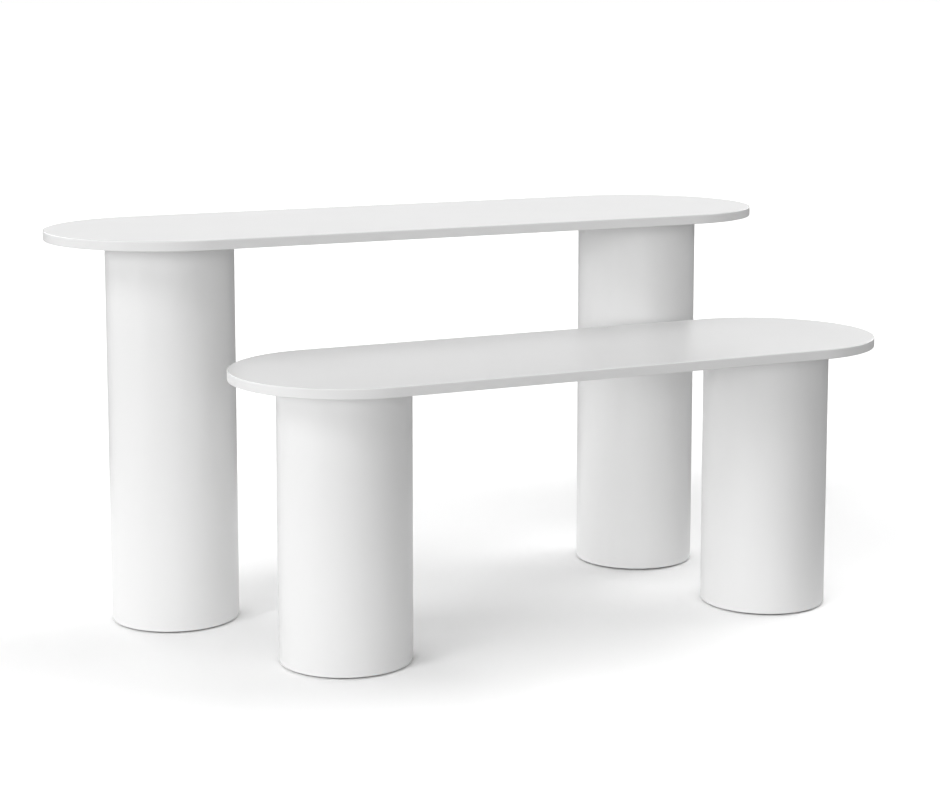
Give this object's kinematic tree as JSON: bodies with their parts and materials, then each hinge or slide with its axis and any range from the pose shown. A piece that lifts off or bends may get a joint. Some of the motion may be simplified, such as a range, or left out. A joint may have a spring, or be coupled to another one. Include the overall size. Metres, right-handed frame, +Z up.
{
  "type": "tiered display table",
  "caption": "Nesting display tables of different height, each a slab with half-round ends on round drum legs, set in tiers for showing goods in a shop.",
  "frame": {"origin": "on the floor under the middle of the whole set's plan box, the lower table at its place in the picture", "axes": "+X along the tops towards the end where the lower table stands out, +Y from the lower table to the upper one, +Z up"},
  "size_m": [1.817, 1.021, 0.9],
  "materials": {
    "white_lacquer": "satin white lacquer over fibreboard",
    "plywood": "raw birch plywood",
    "black_steel": "black powder coat",
    "zinc_steel": "bright zinc plate",
    "glide_nylon": "moulded grey nylon"
  },
  "bodies": {
    "upper_table": {"upper_top": "white_lacquer", "upper_left_leg_shell": "white_lacquer", "upper_left_head_disc": "plywood", "upper_left_base_ring": "plywood", "upper_left_base_plate": "black_steel", "upper_left_fixing_plate": "zinc_steel", "upper_left_tie_rod": "zinc_steel", "upper_left_tie_nut": "zinc_steel", "upper_left_fixing_screw_1": "zinc_steel", "upper_left_fixing_screw_2": "zinc_steel", "upper_left_fixing_screw_3": "zinc_steel", "upper_left_fixing_screw_4": "zinc_steel", "upper_right_leg_shell": "white_lacquer", "upper_right_head_disc": "plywood", "upper_right_base_ring": "plywood", "upper_right_base_plate": "black_steel", "upper_right_fixing_plate": "zinc_steel", "upper_right_tie_rod": "zinc_steel", "upper_right_tie_nut": "zinc_steel", "upper_right_fixing_screw_1": "zinc_steel", "upper_right_fixing_screw_2": "zinc_steel", "upper_right_fixing_screw_3": "zinc_steel", "upper_right_fixing_screw_4": "zinc_steel"},
    "lower_table": {"lower_top": "white_lacquer", "lower_left_leg_shell": "white_lacquer", "lower_left_head_disc": "plywood", "lower_left_base_ring": "plywood", "lower_left_base_plate": "black_steel", "lower_left_fixing_plate": "zinc_steel", "lower_left_tie_rod": "zinc_steel", "lower_left_tie_nut": "zinc_steel", "lower_left_fixing_screw_1": "zinc_steel", "lower_left_fixing_screw_2": "zinc_steel", "lower_left_fixing_screw_3": "zinc_steel", "lower_left_fixing_screw_4": "zinc_steel", "lower_right_leg_shell": "white_lacquer", "lower_right_head_disc": "plywood", "lower_right_base_ring": "plywood", "lower_right_base_plate": "black_steel", "lower_right_fixing_plate": "zinc_steel", "lower_right_tie_rod": "zinc_steel", "lower_right_tie_nut": "zinc_steel", "lower_right_fixing_screw_1": "zinc_steel", "lower_right_fixing_screw_2": "zinc_steel", "lower_right_fixing_screw_3": "zinc_steel", "lower_right_fixing_screw_4": "zinc_steel"},
    "upper_left_glide_1": {"upper_left_glide_1": "glide_nylon"},
    "upper_left_glide_2": {"upper_left_glide_2": "glide_nylon"},
    "upper_left_glide_3": {"upper_left_glide_3": "glide_nylon"},
    "upper_right_glide_1": {"upper_right_glide_1": "glide_nylon"},
    "upper_right_glide_2": {"upper_right_glide_2": "glide_nylon"},
    "upper_right_glide_3": {"upper_right_glide_3": "glide_nylon"},
    "lower_left_glide_1": {"lower_left_glide_1": "glide_nylon"},
    "lower_left_glide_2": {"lower_left_glide_2": "glide_nylon"},
    "lower_left_glide_3": {"lower_left_glide_3": "glide_nylon"},
    "lower_right_glide_1": {"lower_right_glide_1": "glide_nylon"},
    "lower_right_glide_2": {"lower_right_glide_2": "glide_nylon"},
    "lower_right_glide_3": {"lower_right_glide_3": "glide_nylon"}
  },
  "joints": [
    {"name": "draw_out", "type": "slide", "parent": "upper_table", "child": "lower_table", "axis": [0, -1, 0], "range_m": [-0.07, 0.22]},
    {"name": "upper_left_glide_1_screw", "type": "slide", "parent": "upper_table", "child": "upper_left_glide_1", "axis": [0, 0, -1], "range_m": [0, 0.012]},
    {"name": "upper_left_glide_2_screw", "type": "slide", "parent": "upper_table", "child": "upper_left_glide_2", "axis": [0, 0, -1], "range_m": [0, 0.012]},
    {"name": "upper_left_glide_3_screw", "type": "slide", "parent": "upper_table", "child": "upper_left_glide_3", "axis": [0, 0, -1], "range_m": [0, 0.012]},
    {"name": "upper_right_glide_1_screw", "type": "slide", "parent": "upper_table", "child": "upper_right_glide_1", "axis": [0, 0, -1], "range_m": [0, 0.012]},
    {"name": "upper_right_glide_2_screw", "type": "slide", "parent": "upper_table", "child": "upper_right_glide_2", "axis": [0, 0, -1], "range_m": [0, 0.012]},
    {"name": "upper_right_glide_3_screw", "type": "slide", "parent": "upper_table", "child": "upper_right_glide_3", "axis": [0, 0, -1], "range_m": [0, 0.012]},
    {"name": "lower_left_glide_1_screw", "type": "slide", "parent": "lower_table", "child": "lower_left_glide_1", "axis": [0, 0, -1], "range_m": [0, 0.012]},
    {"name": "lower_left_glide_2_screw", "type": "slide", "parent": "lower_table", "child": "lower_left_glide_2", "axis": [0, 0, -1], "range_m": [0, 0.012]},
    {"name": "lower_left_glide_3_screw", "type": "slide", "parent": "lower_table", "child": "lower_left_glide_3", "axis": [0, 0, -1], "range_m": [0, 0.012]},
    {"name": "lower_right_glide_1_screw", "type": "slide", "parent": "lower_table", "child": "lower_right_glide_1", "axis": [0, 0, -1], "range_m": [0, 0.012]},
    {"name": "lower_right_glide_2_screw", "type": "slide", "parent": "lower_table", "child": "lower_right_glide_2", "axis": [0, 0, -1], "range_m": [0, 0.012]},
    {"name": "lower_right_glide_3_screw", "type": "slide", "parent": "lower_table", "child": "lower_right_glide_3", "axis": [0, 0, -1], "range_m": [0, 0.012]}
  ]
}
